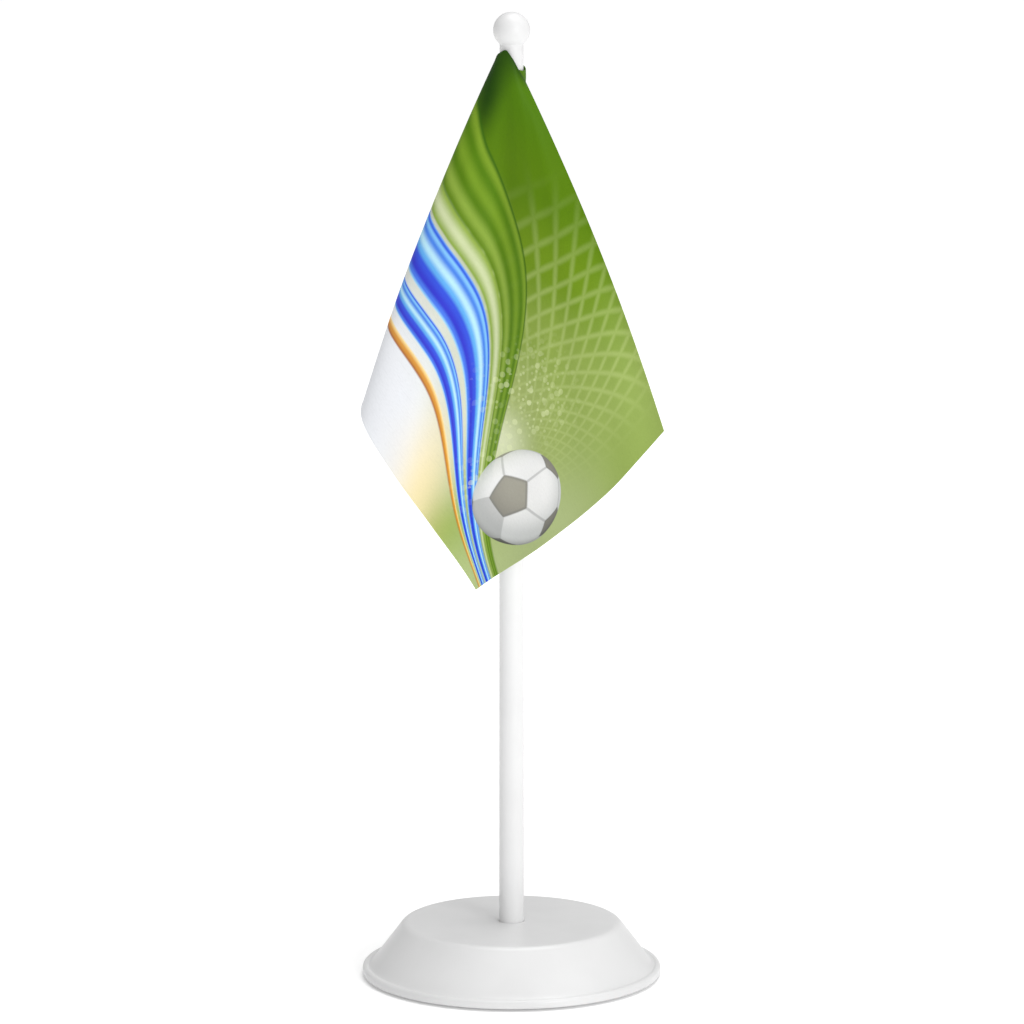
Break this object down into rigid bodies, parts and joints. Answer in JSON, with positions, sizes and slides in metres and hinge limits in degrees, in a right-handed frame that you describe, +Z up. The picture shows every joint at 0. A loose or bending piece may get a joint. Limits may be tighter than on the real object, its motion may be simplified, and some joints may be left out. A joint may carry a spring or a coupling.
{
  "type": "desk flag stand",
  "caption": "Round weighted desk stand with an upright pole, a ball finial and a small satin flag that hangs from a pole sleeve in one soft diagonal fold.",
  "frame": {"origin": "centre of the underside's resting face, on the pole's axis", "axes": "+Z up along the pole; the flag's printed front faces -Y; +X is to the right of a viewer who looks at that front"},
  "size_m": [0.1001, 0.1, 0.3223],
  "materials": {
    "base_plastic": "semi-gloss moulded white",
    "pole_plastic": "semi-gloss extruded white",
    "finial_plastic": "semi-gloss moulded white",
    "cover_plastic": "fine-textured white",
    "plug_plastic": "matt grey",
    "ballast_steel": "zinc-plated",
    "screw_steel": "bright",
    "pad_foam": "matt foam rubber",
    "ring_rubber": "matt silicone",
    "sleeve_satin": "polyester satin",
    "flag_satin": "printed polyester satin",
    "seam_thread": "sewing thread"
  },
  "bodies": {
    "base": {"base_shell": "base_plastic", "ballast_ring": "ballast_steel", "base_cover": "cover_plastic", "cover_screw_1": "screw_steel", "cover_screw_2": "screw_steel", "cover_screw_3": "screw_steel", "anti_slip_pad": "pad_foam"},
    "pole": {"pole_tube": "pole_plastic", "pole_end_plug": "plug_plastic"},
    "finial": {"finial": "finial_plastic"},
    "stop_ring": {"flag_stop_ring": "ring_rubber"},
    "flag": {"hoist_sleeve": "sleeve_satin", "flag_panel": "flag_satin", "sleeve_seam": "seam_thread"}
  },
  "joints": [
    {"name": "pole_lift_out", "type": "slide", "parent": "base", "child": "pole", "axis": [0, 0, 1], "range_m": [0, 0.03]},
    {"name": "finial_pull_off", "type": "slide", "parent": "pole", "child": "finial", "axis": [0, 0, 1], "range_m": [0, 0.025]},
    {"name": "ring_slide", "type": "slide", "parent": "pole", "child": "stop_ring", "axis": [0, 0, 1], "range_m": [-0.11, 0]},
    {"name": "flag_swivel", "type": "hinge", "parent": "stop_ring", "child": "flag", "pos_m": [0, 0, 0.2075], "axis": [0, 0, 1], "continuous": true}
  ]
}
